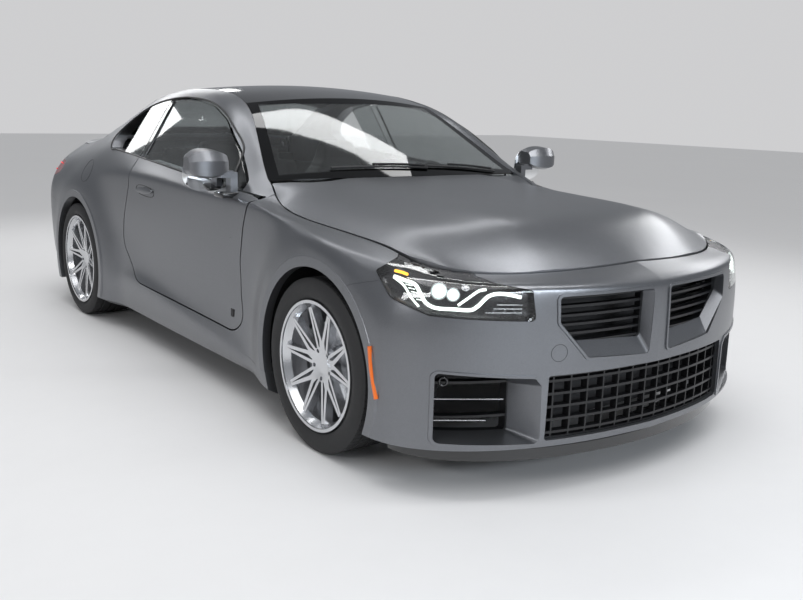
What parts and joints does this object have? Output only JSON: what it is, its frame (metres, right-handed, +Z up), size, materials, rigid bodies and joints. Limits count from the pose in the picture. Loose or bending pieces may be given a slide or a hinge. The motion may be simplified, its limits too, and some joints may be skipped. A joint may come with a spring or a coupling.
{
  "type": "coupe car",
  "caption": "Low two-door coupe with long bonnet, flared wheel arches, slatted nose openings, opening doors and lids, steered front wheels and a hollow cabin.",
  "frame": {"origin": "on the ground, under the middle of the length and width", "axes": "+X to the car's left, +Y to its tail (the nose points to -Y), +Z up"},
  "size_m": [2.164, 4.583, 1.4018],
  "materials": {
    "paint": "satin metallic",
    "black_gloss": "gloss",
    "glass": "tinted clear",
    "black_plastic": "fine grain",
    "headlamp": "gloss",
    "tail_lamp": "gloss",
    "alloy": "bright painted",
    "tyre_rubber": "matte",
    "underbody": "matte",
    "chassis_steel": "coated",
    "cast_metal": "cast",
    "exhaust_metal": "polished",
    "cabin_plastic": "soft grain",
    "seat_leather": "satin"
  },
  "bodies": {
    "body": {"floor_pan": "underbody", "front_structure": "underbody", "rear_structure": "underbody", "body_side_left": "paint", "body_side_right": "paint", "roof_panel": "black_gloss", "front_fenders": "paint", "front_bumper": "paint", "grilles": "black_plastic", "front_splitter": "black_gloss", "headlamps": "headlamp", "rear_bumper": "paint", "rear_diffuser": "black_plastic", "tail_lamps": "tail_lamp", "exhaust": "exhaust_metal", "windscreen": "glass", "rear_glass": "glass", "cowl": "black_plastic", "engine": "cast_metal", "front_subframe": "chassis_steel", "rear_subframe": "chassis_steel", "rear_knuckles": "cast_metal", "dashboard": "cabin_plastic", "front_seats": "seat_leather", "rear_seat": "seat_leather", "arch_liners": "black_plastic"},
    "door_left": {"door_left": "paint", "door_glass_left": "glass", "mirror_left": "paint"},
    "door_right": {"door_right": "paint", "door_glass_right": "glass", "mirror_right": "paint"},
    "bonnet": {"bonnet": "paint"},
    "boot_lid": {"boot_lid": "paint"},
    "steering_wheel": {"steering_wheel": "cabin_plastic"},
    "carrier_front_left": {"knuckle_front_left": "cast_metal"},
    "carrier_front_right": {"knuckle_front_right": "cast_metal"},
    "wheel_front_left": {"rim_front_left": "alloy", "tyre_front_left": "tyre_rubber"},
    "wheel_front_right": {"rim_front_right": "alloy", "tyre_front_right": "tyre_rubber"},
    "wheel_rear_left": {"rim_rear_left": "alloy", "tyre_rear_left": "tyre_rubber"},
    "wheel_rear_right": {"rim_rear_right": "alloy", "tyre_rear_right": "tyre_rubber"}
  },
  "joints": [
    {"name": "door_left_hinge", "type": "hinge", "parent": "body", "child": "door_left", "pos_m": [0.874, -0.6549, 0.5625], "axis": [0, 0, -1], "range_deg": [0, 65]},
    {"name": "door_right_hinge", "type": "hinge", "parent": "body", "child": "door_right", "pos_m": [-0.874, -0.6549, 0.5625], "axis": [0, 0, 1], "range_deg": [0, 65]},
    {"name": "bonnet_hinge", "type": "hinge", "parent": "body", "child": "bonnet", "pos_m": [0, -0.7669, 0.944], "axis": [-1, 0, 0], "range_deg": [0, 50]},
    {"name": "boot_hinge", "type": "hinge", "parent": "body", "child": "boot_lid", "pos_m": [0, 1.428, 1.057], "axis": [1, 0, 0], "range_deg": [0, 75]},
    {"name": "steer_front_left", "type": "hinge", "parent": "body", "child": "carrier_front_left", "pos_m": [0.735, -1.435, 0.172], "axis": [-0.2178, 0.0518, 0.9746], "range_deg": [-30, 30]},
    {"name": "steer_front_right", "type": "hinge", "parent": "body", "child": "carrier_front_right", "pos_m": [-0.735, -1.435, 0.172], "axis": [0.2178, 0.0518, 0.9746], "range_deg": [-30, 30]},
    {"name": "steering_column", "type": "hinge", "parent": "body", "child": "steering_wheel", "pos_m": [0.385, -0.3582, 0.8418], "axis": [0, 0.9135, 0.4067], "range_deg": [-450, 450]},
    {"name": "spin_front_left", "type": "hinge", "parent": "carrier_front_left", "child": "wheel_front_left", "pos_m": [0.8085, -1.435, 0.3375], "axis": [-1, 0, 0], "continuous": true},
    {"name": "spin_front_right", "type": "hinge", "parent": "carrier_front_right", "child": "wheel_front_right", "pos_m": [-0.8085, -1.435, 0.3375], "axis": [-1, 0, 0], "continuous": true},
    {"name": "spin_rear_left", "type": "hinge", "parent": "body", "child": "wheel_rear_left", "pos_m": [0.8025, 1.312, 0.3395], "axis": [-1, 0, 0], "continuous": true},
    {"name": "spin_rear_right", "type": "hinge", "parent": "body", "child": "wheel_rear_right", "pos_m": [-0.8025, 1.312, 0.3395], "axis": [-1, 0, 0], "continuous": true}
  ],
  "couplings": [
    {"joint": "steer_front_right", "follows": "steer_front_left", "ratio": 1},
    {"joint": "steering_column", "follows": "steer_front_left", "ratio": 15}
  ]
}
